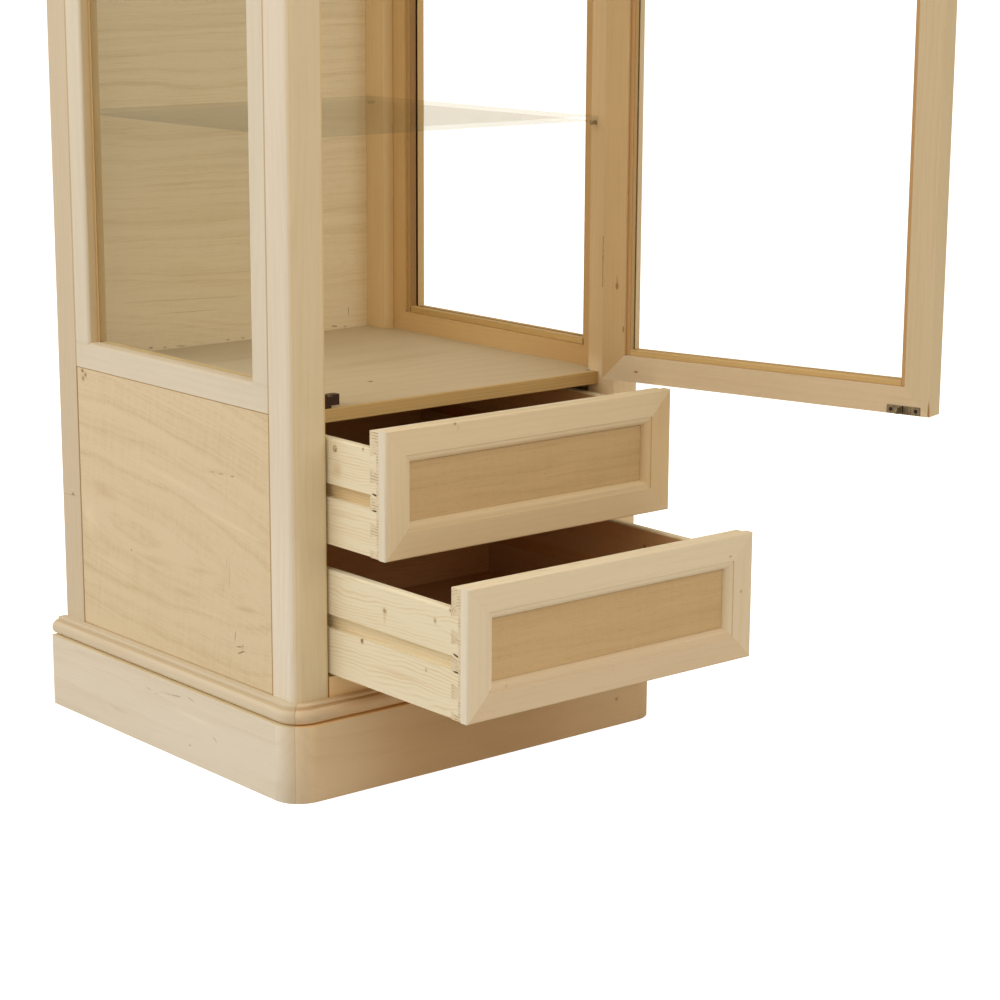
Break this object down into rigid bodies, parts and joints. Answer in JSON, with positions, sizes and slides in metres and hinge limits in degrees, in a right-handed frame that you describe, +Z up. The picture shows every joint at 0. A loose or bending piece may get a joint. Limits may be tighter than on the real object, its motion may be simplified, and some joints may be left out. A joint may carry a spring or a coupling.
{
  "type": "display cabinet",
  "caption": "Tall free-standing glazed display cabinet in bare wood, with one side-hung glass door, glass side panes and shelves, and grooved drawers below on a rounded plinth.",
  "frame": {"origin": "middle of the underside of the rear plinth rail, on the floor, midway between the sides", "axes": "+Z up, -Y towards the front with the door and the drawers, +X towards the side that the door hangs on"},
  "size_m": [0.6558, 0.9651, 1.8],
  "materials": {
    "limewood": "bare planed hardwood, matt",
    "pine": "bare planed softwood, matt",
    "oiled_pine": "darker strip, matt",
    "glass": "clear float glass, 3 mm",
    "dark_bronze": "dark brown, satin",
    "bronze": "dull, aged",
    "steel": "dull"
  },
  "bodies": {
    "cabinet": {"plinth_front": "limewood", "plinth_left": "limewood", "plinth_right": "limewood", "plinth_rear_rail": "pine", "base_moulding_front": "limewood", "base_moulding_left": "limewood", "base_moulding_right": "limewood", "front_left_post": "limewood", "front_right_post": "limewood", "rear_left_post": "limewood", "rear_right_post": "limewood", "left_lower_panel": "limewood", "right_lower_panel": "limewood", "bottom_board": "pine", "bottom_front_rail": "limewood", "left_frame_stiles": "limewood", "left_frame_rails": "limewood", "right_frame_stiles": "limewood", "right_frame_rails": "limewood", "left_glass": "glass", "right_glass": "glass", "left_glass_beads": "oiled_pine", "right_glass_beads": "oiled_pine", "back_panel": "pine", "display_floor": "pine", "floor_lipping": "oiled_pine", "drawer_runners": "pine", "top_front_rail": "limewood", "top_side_rails": "limewood", "top_board": "limewood", "cornice_front": "limewood", "cornice_left": "limewood", "cornice_right": "limewood", "glass_shelves": "glass", "shelf_pins": "steel", "catch_body": "dark_bronze", "hinge_post_halves": "steel"},
    "door": {"door_hinge_stile": "limewood", "door_free_stile": "limewood", "door_bottom_rail": "limewood", "door_top_rail": "limewood", "door_glass": "glass", "door_glass_beads": "oiled_pine", "strike_plate": "bronze", "strike_screws": "bronze", "hinge_door_halves": "steel"},
    "upper_drawer": {"upper_drawer_frame": "limewood", "upper_drawer_panel": "limewood", "upper_drawer_box_front": "pine", "upper_drawer_sides": "pine", "upper_drawer_back": "pine", "upper_drawer_bottom": "pine"},
    "lower_drawer": {"lower_drawer_frame": "limewood", "lower_drawer_panel": "limewood", "lower_drawer_box_front": "pine", "lower_drawer_sides": "pine", "lower_drawer_back": "pine", "lower_drawer_bottom": "pine"},
    "catch_roller": {"catch_roller": "bronze"}
  },
  "joints": [
    {"name": "door_hinge", "type": "hinge", "parent": "cabinet", "child": "door", "pos_m": [0.2255, -0.514, 0.457], "axis": [0, 0, 1], "range_deg": [-105.5, 60]},
    {"name": "upper_drawer_slide", "type": "slide", "parent": "cabinet", "child": "upper_drawer", "axis": [0, -1, 0], "range_m": [-0.109, 0.291]},
    {"name": "lower_drawer_slide", "type": "slide", "parent": "cabinet", "child": "lower_drawer", "axis": [0, -1, 0], "range_m": [-0.257, 0.143]},
    {"name": "catch_roller_spin", "type": "hinge", "parent": "cabinet", "child": "catch_roller", "pos_m": [-0.1944, -0.4775, 0.4655], "axis": [0, 0, 1], "continuous": true}
  ]
}
